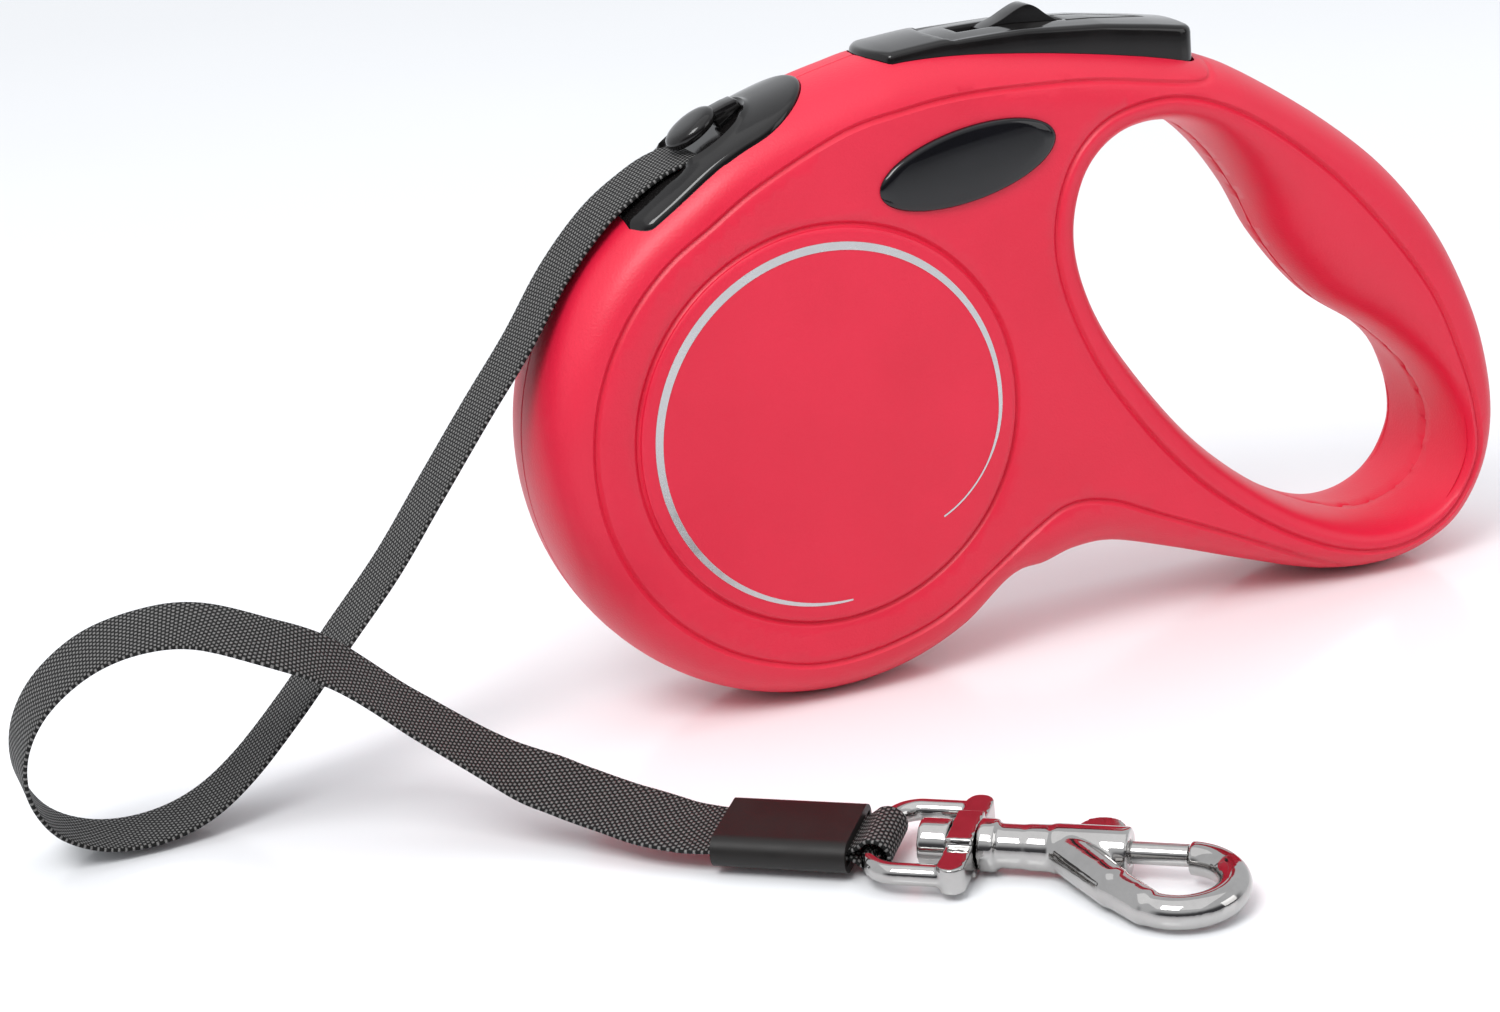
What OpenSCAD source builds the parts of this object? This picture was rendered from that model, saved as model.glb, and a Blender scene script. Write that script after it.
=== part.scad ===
// Retractable tape leash, standing on its two feet with its tape and snap laid out in front.
// +X runs from the tape's nose to the handle, +Y away from the tape's loop, +Z up.
// The origin is under the middle of the housing, on the surface it stands on.

/* [Housing] */
// Radius of the round reel case
case_r = 43.8; // [43:0.2:45]
// Height of the reel's axis over the floor
reel_z = 43.4; // [43.2:0.1:43.6]
// Half of the housing's thickness
half_t = 13; // [12.8:0.1:13.4]
// How far the flat side face lies inside the outline
rim = 7.4; // [6.5:0.1:8]
// Wall thickness of the two shells
wall = 2; // [1.8:0.1:2.2]
// Radius of the round cover in each side face
cover_r = 30.2; // [28:0.2:31]

/* [Reel] */
// Radius of the fixed axle
axle_r = 4; // [3.5:0.1:4.5]
// Outer radius of the spring cup that the tape is wound on
cup_r = 21.5; // [20:0.5:23]
// Outer radius of the wound tape
wound_r = 37.6; // [34:0.2:37.8]
// Radius of the reel's flanges
flange_r = 38.7; // [38.2:0.1:39]
// Number of ratchet teeth on the near flange
teeth = 24; // [12:12:24]

/* [Tape] */
// Width of the woven tape
tape_w = 12; // [10:0.5:12]
// Thickness of the woven tape
tape_t = 0.65; // [0.5:0.05:0.8]

/* [Brake] */
// Width of the brake button
button_w = 14.4; // [13:0.2:14.6]

/* [Snap] */
// Radius of the wire of the swivel eye
wire_r = 1.5; // [1.3:0.1:1.6]
// Outer width of the swivel eye
eye_w = 20; // [19:0.5:21]
// Radius of the swivel's shaft
shaft_r = 2; // [1.8:0.1:2.2]
// Radius of the spring bolt
bolt_r = 1.5; // [1.3:0.1:1.6]
// Travel of the spring bolt
bolt_travel = 5.5; // [4:0.5:5.5]

/* [Hidden] */
$fn = 48;

// Distance from the reel's axis to the middle of the housing's length
reel_x = -37.5;
fit = 0.05;
gap = 0.3;
cover_t = 1.4;
badge_t = 1.2;
face_bow = 2.2;
red = [0.86, 0.06, 0.16];
black = [0.05, 0.05, 0.05];
steel = [0.75, 0.75, 0.75];
chrome = [0.8, 0.8, 0.82];
grey = [0.4, 0.4, 0.4];
weave = [0.18, 0.18, 0.18];

// ---- points and curves ----

function unit(v) = v / norm(v);

function wrap(list, i) = list[(i + len(list)) % len(list)];

// A smooth curve through four neighbouring points, at t from 0 to 1 between the middle two
function smooth(a, b, c, d, t) =
    0.5 * (2 * b + (c - a) * t + (2 * a - 5 * b + 4 * c - d) * t * t
           + (3 * b - a - 3 * c + d) * t * t * t);

function closed_curve(list, steps) =
    [for (i = [0:len(list) - 1], k = [0:steps - 1])
        smooth(wrap(list, i - 1), list[i], wrap(list, i + 1), wrap(list, i + 2), k / steps)];

function open_curve(list, steps) =
    let (n = len(list))
    concat([for (i = [0:n - 2], k = [0:steps - 1])
        smooth(list[max(i - 1, 0)], list[i], list[i + 1], list[min(i + 2, n - 1)], k / steps)],
        [list[n - 1]]);

// Outward normal at point i of a closed curve that runs anticlockwise
function out_normal(list, i) =
    let (d = unit(wrap(list, i + 1) - wrap(list, i - 1))) [d[1], -d[0]];

// The curve moved outwards by a distance
function grown(list, by) =
    [for (i = [0:len(list) - 1]) list[i] + by * out_normal(list, i)];

function blend(a, b, s) = [for (i = [0:len(a) - 1]) a[i] * s + b[i] * (1 - s)];

// Share of the mid-plane outline that is left at a depth, from 1 at the seam to 0 at the face
function rim_share(y) = pow(max(0, 1 - pow(abs(y) / half_t, face_bow)), 1 / face_bow);

// Outline of the whole housing on the mid-plane, measured from the reel's axis and the floor
case_arc = [for (a = [118:13:313]) [case_r * cos(a), reel_z + case_r * sin(a)]];
handle_line = [
    [35.5, 12.1], [41, 13.4], [48, 13.2], [58.5, 9.9], [71.5, 5], [84, 0.9], [95, -0.5],
    [104, 0.9], [111.5, 5], [116.9, 13.4], [118.8, 24], [117, 36.5], [113, 47.8], [107.4, 58],
    [99.3, 67.8], [88.5, 76.8], [76, 84.9], [69, 88.2], [61, 90.3], [50, 92.4], [38, 94.1],
    [26, 95.3], [16, 95.5], [9.5, 94.4], [3, 92.9], [-5, 90.5], [-13, 87]];
outline = closed_curve(concat(case_arc, handle_line), 3);

// Outline of the finger opening, on the mid-plane and at the side face
grip_mid = closed_curve([
    [43.6, 64.5], [45.6, 54.5], [51.5, 43.5], [62.5, 28.8], [75, 17.5], [87, 10.6],
    [97.5, 8.4], [106.5, 12.2], [109.3, 20.5], [106, 29.5], [98.5, 37.8], [88, 45.6],
    [80, 55.5], [75.5, 64.5], [70.5, 72], [65, 77], [58.5, 79], [51.5, 78], [46, 73]], 3);
grip_face = closed_curve([
    [39.7, 65.5], [41.6, 54.5], [47.8, 41.3], [59.5, 26], [72.5, 15], [85.5, 7.9],
    [96, 6.1], [104.8, 9], [110, 16.8], [109.8, 25], [107, 34.6], [102.5, 45],
    [95, 55.8], [85.5, 66.5], [75, 75.3], [66, 80.6], [57.4, 82.7], [48.2, 81.1],
    [42.1, 75.3]], 3);

// Places of the screws, measured from the reel's axis and the floor
screw_at = [[8, 89], [35, 69], [40.5, 22], [85, 5.2], [108.5, 41], [73.5, 80]];
screw_boss_r = 3.5;

// ---- shapes shared by several parts ----

module at_reel() translate([reel_x, 0, 0]) children();

// Anything drawn flat in X and Z, made as thick along Y as from y0 to y1
module across(y0, y1)
    translate([0, y0, 0]) rotate([90, 0, 0]) mirror([0, 0, 1])
        linear_extrude(y1 - y0) children();

// A round bar along Y
module pin(x, z, r, y0, y1) translate([x, 0, z]) across(y0, y1) circle(r);

// Triangles between each of several rings and the next, every ring of the same size
function skin(rings, size) =
    [for (k = [0:rings - 2], i = [0:size - 1], half = [0, 1])
        let (a = k * size + i, b = k * size + (i + 1) % size)
        half == 0 ? [a, b, b + size] : [a, b + size, a + size]];

// A skin through one closed curve at each depth; the curves hold the same number of points
module loft(depths, curves) {
    n = len(curves[0]);
    m = len(curves);
    points = [for (k = [0:m - 1], p = curves[k]) [p[0], depths[k], p[1]]];
    first = [for (i = [n - 1:-1:0]) i];
    last = [for (i = [0:n - 1]) (m - 1) * n + i];
    polyhedron(points, concat(skin(m, n), [first, last]), convexity = 6);
}

// Half of the housing's outer form, grown or shrunk by a distance, from the seam to a depth
module half_form(by, depth, levels) {
    depths = [for (k = levels) -depth * k];
    loft([for (y = depths) -y],
         [for (y = depths) grown(outline, by - rim * (1 - rim_share(y)))]);
}

// The finger opening through one half, grown or shrunk, running past the seam and the face
module half_grip(by, levels) {
    depths = concat([-1], [for (k = levels) half_t * k], [half_t + 1]);
    shares = concat([1], [for (k = levels) rim_share(half_t * k)], [0]);
    loft(depths, [for (s = shares) grown(blend(grip_mid, grip_face, s), by)]);
}

// Half of the housing as a hollow skin, on the +Y side
module half_skin() {
    difference() {
        half_form(0, half_t, [0, 0.38, 0.66, 0.86, 0.96, 1]);
        half_grip(0, [0, 0.4, 0.7, 0.9, 1]);
        difference() {
            translate([0, -0.01, 0]) half_form(-wall, half_t - wall, [0, 0.6, 1]);
            half_grip(wall, [0, 0.6, 1]);
        }
    }
}

// What both shells need inside and round their openings, on the +Y side
module half_bosses() {
    intersection() {
        for (p = screw_at) pin(p[0], p[1], screw_boss_r, 0, half_t - wall + 0.2);
        half_form(-wall / 2, half_t - wall / 2, [0, 0.6, 1]);
    }
    pin(0, reel_z, 7, 9.4, half_t - wall + 0.2);
    pin(pawl_x, pawl_z, 2.6, 9, half_t - wall + 0.2);
    pin(button_x, button_z, 2.2, button_w / 2 + gap, half_t - 1.5);
}

module half_cuts() {
    // floor flats
    translate([-100, -1, -10]) cube([260, half_t + 2, 10]);
    // seat of the round cover
    pin(0, reel_z, cover_r + 0.1, half_t - 1, half_t + 1);
    // socket of the axle
    pin(0, reel_z, axle_r + 0.02, 0, half_t - wall);
    pin(pawl_x, pawl_z, pawl_pin_r, 0, half_t - wall);
    pin(button_x, button_z, button_pin_r, 0, half_t - wall - 0.5);
    // pocket of the brake button
    pocket_cut();
    // seat of the tape guide
    guide_room(0.1);
}

module half_shell() {
    difference() {
        union() {
            half_skin();
            half_bosses();
        }
        half_cuts();
    }
}

// ---- housing ----

screw_head_r = 2.3;
screw_r = 1.1;
screw_depth = 3.6;

module left_shell() color(red) at_reel()
    mirror([0, 1, 0]) difference() {
        half_shell();
        for (p = screw_at) pin(p[0], p[1], screw_r, -1, 8);
    }

module right_shell() color(red) at_reel()
    difference() {
        half_shell();
        for (p = screw_at) {
            pin(p[0], p[1], screw_r + 0.15, -1, half_t);
            pin(p[0], p[1], screw_head_r + 0.2, half_t - screw_depth - 1.8, half_t + 1);
        }
    }

module round_cover() {
    pin(0, reel_z, cover_r - 0.2, half_t - 1, half_t + cover_t - 1);
    difference() {
        pin(0, reel_z, cover_r - 3, half_t + cover_t - 1, half_t + cover_t - 0.7);
        pin(0, reel_z, cover_r - 5, half_t, half_t + cover_t);
    }
}

module left_cover() color(red) at_reel() mirror([0, 1, 0]) round_cover();

module right_cover() color(red) at_reel() round_cover();

badge_x = 24.6;
badge_z = 79.1;
badge_tilt = 9;
badge_half = [14.6, 5.6];

module badge_oval(by)
    polygon([for (a = [0:7.5:352.5])
        [(badge_half[0] + by) * cos(a), (badge_half[1] + by) * sin(a)]]);

module badge() {
    translate([badge_x, 0, badge_z]) rotate([0, -badge_tilt, 0]) {
        across(half_t, half_t + badge_t - 0.4) badge_oval(0);
        across(half_t + badge_t - 0.4, half_t + badge_t) badge_oval(-0.8);
    }
}

module left_badge() color(black) at_reel() mirror([0, 1, 0]) badge();

module right_badge() color(black) at_reel() badge();

module housing_screws() color(steel) at_reel()
    for (p = screw_at) difference() {
        union() {
            pin(p[0], p[1], screw_r, -7.5, half_t - screw_depth - 1.7);
            pin(p[0], p[1], screw_head_r, half_t - screw_depth - 1.8, half_t - screw_depth);
        }
        for (a = [0, 90]) translate([p[0], 0, p[1]]) rotate([0, a, 0])
            translate([-1.5, half_t - screw_depth - 0.8, -0.3]) cube([3, 2, 0.6]);
    }

// ---- tape guide at the nose ----

guide_half = 10.4;
guide_end_x = -6.7;

// The block of space that the guide fills, cut from the housing's top front
module guide_room(by) {
    intersection() {
        across(-guide_half - by, guide_half + by)
            polygon([[-25.5 - by, 79.5], [-20.4, 82.2 - by], [-13.5, 84 - by], [-4.5, 87.7 - by],
                     [1.5 + by, 91 - by], [5, 94], [5, 99], [-27 - by, 99]]);
        translate([0, 0, 70]) linear_extrude(40) union() {
            translate([guide_end_x, 0]) circle(guide_half + by, $fn = 64);
            translate([-28, -guide_half - by]) square([28 + guide_end_x, 2 * (guide_half + by)]);
        }
    }
}

// Way of the tape through the guide
module tape_way()
    across(-tape_w / 2 - 0.7, tape_w / 2 + 0.7)
        polygon([[2, 83.4], [-8, 84.9], [-13.5, 86.4], [-17.5, 85.8], [-23, 83.2], [-32, 76],
                 [-33, 70], [-27, 76.5], [-21.5, 80.9], [-17.2, 82.6], [-13.5, 83.4],
                 [-8, 82], [2, 79.6]]);

dish_x = -13.2;
dish_z = 88.4;
dish_tilt = -33;

// Tilted frame of the dish, its local Z square to the guide's surface
module at_dish() translate([dish_x, 0, dish_z]) rotate([0, dish_tilt, 0]) children();

module tape_guide() color(black) at_reel()
    difference() {
        intersection() {
            guide_room(0);
            union() {
                half_form(0.6, half_t, [0, 0.38, 0.66, 0.86, 1]);
                mirror([0, 1, 0]) half_form(0.6, half_t, [0, 0.38, 0.66, 0.86, 1]);
            }
        }
        translate([0, 0, reel_z]) across(-half_t, half_t) circle(39.9, $fn = 96);
        tape_way();
        at_dish() {
            translate([-1, 0, -2.6]) cylinder(r = 7.2, h = 12, $fn = 64);
            translate([1.2, 0, -2.6]) cylinder(r = 7.2, h = 12, $fn = 64);
        }
    }

// Raised pad that covers the tape's way out, carried by a bar from the dish's upper wall
module guide_finger() color(black) at_reel()
    at_dish() difference() {
        union() {
            cylinder(r = 3.9, h = 2, center = true, $fn = 48);
            translate([2.5, -1.9, -2.5]) cube([5.6, 3.8, 3.2]);
        }
        translate([0, 0, -3]) cylinder(r = 2.4, h = 2.6, $fn = 32);
    }

// ---- reel ----

flange_in = tape_w / 2 + 0.5;
flange_out = flange_in + 1.4;

module reel_axle() color(steel) at_reel()
    difference() {
        pin(0, reel_z, axle_r, -half_t + wall + 0.1, half_t - wall - 0.1);
        // slot that holds the spring's inner end
        translate([-0.5, -5, reel_z - axle_r - 1]) cube([1, 10, axle_r]);
    }

module reel_drum() color(grey) at_reel()
    difference() {
        union() {
            pin(0, reel_z, cup_r, -flange_in, flange_in);
            pin(0, reel_z, 6.5, -9.2, -flange_in);
        }
        pin(0, reel_z, cup_r - 1.6, -flange_in + 1.2, flange_in + 1);
        pin(0, reel_z, axle_r + fit, -10, 10);
    }

// Near flange with the ratchet's teeth on its edge
module reel_ratchet() color(grey) at_reel()
    difference() {
        across(-flange_out, -flange_in) translate([0, reel_z]) polygon([
            for (i = [0:teeth - 1], p = [[0, -2.4], [0.2, 0.6], [0.8, 0.6]])
                let (a = ratchet_phase + (i + p[0]) * 360 / teeth)
                (flange_r + p[1]) * [cos(a), sin(a)]]);
        pin(0, reel_z, 6.5, -10, 10);
        for (a = [0:60:300]) rotate_about_reel(a) pin(13, reel_z, 3.2, -10, 10);
    }

// Turns the first tooth gap to the pawl
ratchet_phase = 11;

module rotate_about_reel(a)
    translate([0, 0, reel_z]) rotate([0, a, 0]) translate([0, 0, -reel_z]) children();

module reel_far_flange() color(grey) at_reel()
    difference() {
        pin(0, reel_z, flange_r, flange_in, flange_out);
        pin(0, reel_z, cup_r - 1.6, 0, 10);
    }

module spring_lid() color(grey) at_reel()
    difference() {
        union() {
            pin(0, reel_z, cup_r - 1.6, flange_in - 0.2, flange_out);
            pin(0, reel_z, 6.5, flange_out - 0.1, 9.2);
        }
        pin(0, reel_z, axle_r + fit, 0, 10);
    }

module tape_winding() color(weave) at_reel()
    difference() {
        pin(0, reel_z, wound_r, -tape_w / 2, tape_w / 2);
        pin(0, reel_z, cup_r + 0.02, -10, 10);
    }

// Flat strip wound in a spiral, its inner end near the axle and its outer end near the cup
spring_turns = 6;
spring_t = 0.45;
function spiral(a, side) =
    let (r = axle_r + 1.2 + (cup_r - axle_r - 4) * a / (360 * spring_turns) + side)
    [r * cos(a), r * sin(a)];

module power_spring() color(steel) at_reel()
    translate([0, 0, reel_z]) across(-4.6, 5.4) polygon(concat(
        [for (a = [0:18:360 * spring_turns]) spiral(a, 0)],
        [for (a = [360 * spring_turns:-18:0]) spiral(a, spring_t)]));

// ---- brake ----

button_x = 20;
button_z = 90.6;
button_pin_r = 1;

// Plan of the button: a bow-shaped nose, straight sides and a square tail with round corners
module button_plan(by) {
    intersection() {
        translate([10, -button_w / 2 - by]) square([56.2 + by, button_w + 2 * by]);
        union() {
            translate([24.6, 0]) circle(11.2 + by, $fn = 96);
            translate([24, -button_w / 2 - by]) square([40 - 0.2, button_w + 2 * by]);
            for (s = [-1, 1]) translate([63.8, s * (button_w / 2 - 2.4)]) circle(2.4 + by);
            translate([63, -button_w / 2 + 2.4]) square([3.2 + by, button_w - 4.8]);
        }
    }
}

module pocket_cut()
    translate([0, 0, 81.6]) linear_extrude(30) intersection() {
        button_plan(gap);
        translate([0, -20]) square([80, 40]);
    }

// Side view of the button's top line and its skirt
button_top = [[13.2, 95.9], [17, 96.3], [22, 96.6], [28, 96.9], [38, 96.8], [51, 95.5],
              [60, 94.1], [66.6, 92.9]];

module brake_button() color(black) at_reel()
    difference() {
        union() {
            intersection() {
                across(-20, 20) polygon(concat([[66.6, 84.4], [13.2, 92]], button_top));
                translate([0, 0, 70]) linear_extrude(40) button_plan(0);
            }
            for (s = [-1, 1]) pin(button_x, button_z, 2.3, 6.5 * s - 0.7, 6.5 * s + 0.7);
        }
        // hollow underneath
        intersection() {
            across(-20, 20) polygon(concat([[80, 80], [5, 88]],
                [for (p = button_top) p - [0, 1.8]]));
            translate([0, 0, 70]) linear_extrude(28) button_plan(-1.4);
        }
        // slot of the lock slider
        translate([29, -2.1, 90]) cube([17.5, 4.2, 12]);
        // hinge pin
        pin(button_x, button_z, button_pin_r + fit, -20, 20);
    }

module button_pin() color(steel) at_reel()
    pin(button_x, button_z, button_pin_r, -half_t + wall + 0.6, half_t - wall - 0.6);

// The slider's tab stands out of the slot; its plate runs under the button's top wall
module lock_slider() color(black) at_reel() {
    across(-1.9, 1.9) polygon([[33.4, 93.5], [33.4, 96.6], [37.4, 97.2], [40.2, 98.7],
        [41.8, 98.8], [43.8, 97.4], [45.6, 96.2], [45.8, 93.5]]);
    translate([31.6, -4.6, 92.9]) cube([14.2, 9.2, 1]);
}

// Bent clip under the slider's plate that holds it forward or back
module lock_clip() color(steel) at_reel()
    difference() {
        translate([33, -4.4, 91.2]) cube([10, 8.8, 1.7]);
        translate([33.5, -5, 90.7]) cube([9, 10, 1.7]);
    }

spring_x = 57;
spring_low = 81.4;
spring_high = 92.2;

module button_spring() color(steel) at_reel()
    translate([spring_x, 0, spring_low]) {
        wire = 0.5;
        coil = [for (a = [0:30:360 * 5])
            [2.4 * cos(a), 2.4 * sin(a), wire + (spring_high - spring_low - 2 * wire) * a / 1800]];
        sweep(coil, [for (p = coil) [0, 0, 1]], wire, wire, 6);
    }

pawl_x = 33;
pawl_z = 83.5;
pawl_pin_r = 1.2;

// Two-armed lever: its nose drops into the ratchet when the button presses its heel
module brake_pawl() color(steel) at_reel()
    difference() {
        union() {
            across(-8.2, -6.6) polygon([[33, 81], [24, 82], [15.5, 82.9], [13.4, 82.4],
                [12.6, 81.5], [11.4, 81.9], [11.2, 84.4], [24, 85.2], [26.8, 86.6],
                [27.8, 89.4], [29.6, 89.4], [31.5, 86.2], [35, 85]]);
            pin(pawl_x, pawl_z, 2.5, -8.8, -6.2);
        }
        pin(pawl_x, pawl_z, pawl_pin_r + fit, -10, 10);
    }

module pawl_pin() color(steel) at_reel()
    pin(pawl_x, pawl_z, pawl_pin_r, -half_t + wall + 0.1, half_t - wall - 0.1);

// ---- free tape ----

// A bar swept along a path, broad along each hint and thin square to it
module sweep(path, hints, half_b, half_h, sides) {
    n = len(path);
    frames = [for (i = [0:n - 1])
        let (t = unit(path[min(i + 1, n - 1)] - path[max(i - 1, 0)]),
             b = unit(hints[i] - (hints[i] * t) * t)) [b, cross(t, b)]];
    ring = [for (k = [0:sides - 1]) let (a = (k + 0.5) * 360 / sides) [
        half_b * clip(cos(a) / cos(180 / sides) * (half_b == half_h ? 1 : 1.3)),
        half_h * clip(sin(a) / cos(180 / sides) * (half_b == half_h ? 1 : 1.3))]];
    points = [for (i = [0:n - 1], c = ring) path[i] + c[0] * frames[i][0] + c[1] * frames[i][1]];
    first = [for (k = [sides - 1:-1:0]) k];
    last = [for (k = [0:sides - 1]) (n - 1) * sides + k];
    polyhedron(points, concat(skin(n, sides), [first, last]), convexity = 10);
}

function clip(v) = max(-1, min(1, v));

// Route of the tape from the winding, through the guide, over the floor and into the sleeve
tape_route = [
    [-40, 0, 81.8], [-46, 0, 83.3], [-51, 0, 84.6], [-55, 0, 84.2], [-59.6, 0, 82.3],
    [-66.4, 0, 77.9], [-73.5, 0, 70.6], [-80.5, -1, 61.6], [-88, -2, 53], [-96.5, -3, 42.8],
    [-104, -3, 33.2], [-112.5, -3, 24], [-121, -3, 14.8], [-129, -3, 7.2], [-136, -3.5, 3],
    [-143.5, -4, 1.5], [-151, -4.2, 2.5], [-157, -5, 6.5], [-160.2, -6.6, 13.4],
    [-159.9, -8.3, 20.6], [-156.4, -10.2, 27.2], [-150, -12.5, 32.5], [-142.5, -14.7, 35],
    [-135, -16.9, 35], [-126.5, -20.5, 32], [-118, -22.5, 27.4], [-108, -26.5, 18.8],
    [-98.5, -31.8, 11.6], [-91.5, -37.4, 8], [-85, -43.6, 5.5], [-79.4, -50, 4.2],
    [-74.3, -54.4, 3.8], [-70.7, -57.3, 3.8]];

// The tape's width lies along Y, tips towards the front past its loop, and ends as the sleeve does
function width_hint(i) =
    [0, 1, lookup(i, [[17, 0], [22, 0.14], [25, 0.42], [28, 0.36], [31, 0.087], [32, 0.087]])];

module tape_free() color(weave)
    sweep(open_curve(tape_route, 2), open_curve([for (i = [0:len(tape_route) - 1]) width_hint(i)], 2),
          tape_w / 2, tape_t / 2, 8);

// ---- sleeve, swivel eye and snap ----

// Start of the sleeve, the way the lead points on the floor, and its lean
lead_at = [-74.3, -54.4, 3.8];
lead_turn = -39;
lead_lean = 5;

// Local X along the lead, local Y across it
module at_lead()
    translate(lead_at) rotate([0, 0, lead_turn]) rotate([lead_lean, 0, 0]) children();

// A round bar along the lead
module lead_bar(r, x0, x1, y = 0)
    translate([x0, y, 0]) rotate([0, 90, 0]) cylinder(r = r, h = x1 - x0);

sleeve_l = 18.8;
sleeve_w = 14;
sleeve_t = 4.6;
tail_at = 4.6;
bar_x = 22;
loop_w = 9.6;

module tape_sleeve() color(black) at_lead()
    difference() {
        union() {
            for (s = [-1, 1]) lead_bar(sleeve_t / 2, 0, sleeve_l, s * (sleeve_w - sleeve_t) / 2);
            translate([0, -(sleeve_w - sleeve_t) / 2, -sleeve_t / 2])
                cube([sleeve_l, sleeve_w - sleeve_t, sleeve_t]);
        }
        translate([-1, -tape_w / 2 - 0.2, -0.95]) cube([sleeve_l + 2, tape_w + 0.4, 1.9]);
    }

module tape_end_loop() color(weave) at_lead()
    difference() {
        union() {
            translate([tail_at, -tape_w / 2, -0.8]) cube([sleeve_l - tail_at, tape_w, 1.6]);
            translate([tail_at, -loop_w / 2, -0.8]) cube([bar_x - tail_at - 1, loop_w, 1.6]);
            translate([bar_x, loop_w / 2, 0]) rotate([90, 0, 0]) cylinder(r = wire_r + 1, h = loop_w);
        }
        translate([bar_x, tape_w, 0]) rotate([90, 0, 0]) cylinder(r = wire_r + fit, h = 2 * tape_w);
    }

block_x = 31.9;
block_t = 3.7;
head_x = 27.6;
corner = 4;

// Ring of round wire with a bored block across its outer end
module swivel_eye() color(chrome) at_lead() {
    side_y = eye_w / 2 - wire_r;
    translate([bar_x, side_y - corner, 0]) rotate([90, 0, 0])
        cylinder(r = wire_r, h = 2 * (side_y - corner));
    for (s = [-1, 1]) {
        translate([bar_x + corner, s * (side_y - corner), 0]) intersection() {
            rotate_extrude() translate([corner, 0]) circle(wire_r, $fn = 32);
            mirror([0, s < 0 ? 1 : 0, 0]) translate([-10, 0, -5]) cube([10, 10, 10]);
        }
        lead_bar(wire_r, bar_x + corner, block_x + 1.8, s * side_y);
    }
    difference() {
        union() {
            translate([block_x, -side_y, -wire_r - 0.4])
                cube([block_t, 2 * side_y, 2 * wire_r + 0.8]);
            translate([block_x, -4, -3]) cube([block_t, 8, 6]);
            for (s = [-1, 1]) translate([block_x + block_t / 2, s * side_y, -wire_r - 0.4])
                cylinder(r = block_t / 2, h = 2 * wire_r + 0.8);
        }
        lead_bar(shaft_r + fit, block_x - 1, block_x + block_t + 1);
    }
}

collar_x = block_x + block_t + 0.1;
barrel_r = 3.4;
face_x = 55.8;
bore_x = 41;
bolt_back_x = 48.6;
hook_x = 63.7;
hook_y = -7.4;
hook_mid = 6.8;
hook_wire = 2.25;
knob_x = 51.2;

// A short round bar between two points of the hook's plane, with ball ends
module link(a, b, ra, rb) hull() {
    translate([a[0], a[1], 0]) sphere(ra, $fn = 28);
    translate([b[0], b[1], 0]) sphere(rb, $fn = 28);
}

module snap_body() color(chrome) at_lead()
    difference() {
        union() {
            lead_bar(3.3, head_x, block_x - 0.1);
            lead_bar(shaft_r, head_x, collar_x + 1);
            lead_bar(3.6, collar_x, collar_x + 2.4);
            lead_bar(3, collar_x, bore_x + 3);
            link([42.6, 0], [46.4, 0], 3.15, barrel_r - 0.2);
            lead_bar(barrel_r, 45.6, face_x);
            link([48.1, -1.6], [55.2, -9], 2.95, 2.8);
            link([55.6, -9.3], hook_point(237), 2.6, hook_wire + 0.25);
            hook_arc();
        }
        lead_bar(bolt_r + fit, bore_x, face_x + 1);
        // slot of the thumb knob
        translate([knob_x - 1.6 - bolt_travel, 0, -1.25]) cube([3.2 + bolt_travel, 6, 2.5]);
    }

function hook_point(a) = [hook_x + hook_mid * cos(a), hook_y + hook_mid * sin(a)];

// The hook's open ring, from under the barrel round to the tip in front of the bolt
module hook_arc() translate([hook_x, hook_y, 0]) difference() {
    rotate_extrude() translate([hook_mid, 0]) circle(hook_wire, $fn = 32);
    translate([-20, 0, -5]) cube([20, 20, 10]);
    rotate([0, 0, 142]) translate([0, 0, -5]) cube([20, 20, 10]);
}

module snap_bolt() color(chrome) at_lead() {
    lead_bar(bolt_r, bolt_back_x, hook_x - 0.2);
    // thumb knob on a short neck
    translate([knob_x - 1.3, 0, -1.1]) cube([2.6, 4.2, 2.2]);
    intersection() {
        translate([knob_x, barrel_r + 0.4, -1.1]) cylinder(r = 3.3, h = 2.2);
        translate([knob_x - 5, barrel_r + 0.4, -5]) cube(10);
    }
}

module bolt_spring() color(steel) at_lead()
    translate([bore_x + 0.1, 0, 0]) rotate([0, 90, 0]) {
        wire = 0.25;
        long = bolt_back_x - bore_x - 0.2;
        coil = [for (a = [0:36:360 * 6])
            [1.1 * cos(a), 1.1 * sin(a), wire + (long - 2 * wire) * a / 2160]];
        sweep(coil, [for (p = coil) [0, 0, 1]], wire, wire, 6);
    }

left_shell();
right_shell();
left_cover();
right_cover();
left_badge();
right_badge();
tape_guide();
guide_finger();
reel_axle();
reel_drum();
reel_ratchet();
reel_far_flange();
spring_lid();
tape_winding();
power_spring();
housing_screws();
brake_button();
button_pin();
button_spring();
lock_slider();
lock_clip();
brake_pawl();
pawl_pin();
tape_free();
tape_end_loop();
tape_sleeve();
swivel_eye();
snap_body();
snap_bolt();
bolt_spring();
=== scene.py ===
"""Retractable tape leash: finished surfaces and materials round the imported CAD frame."""
import math

import bmesh
import bpy
import numpy as np
from mathutils import Matrix, Vector
from mathutils.geometry import delaunay_2d_cdt


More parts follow.
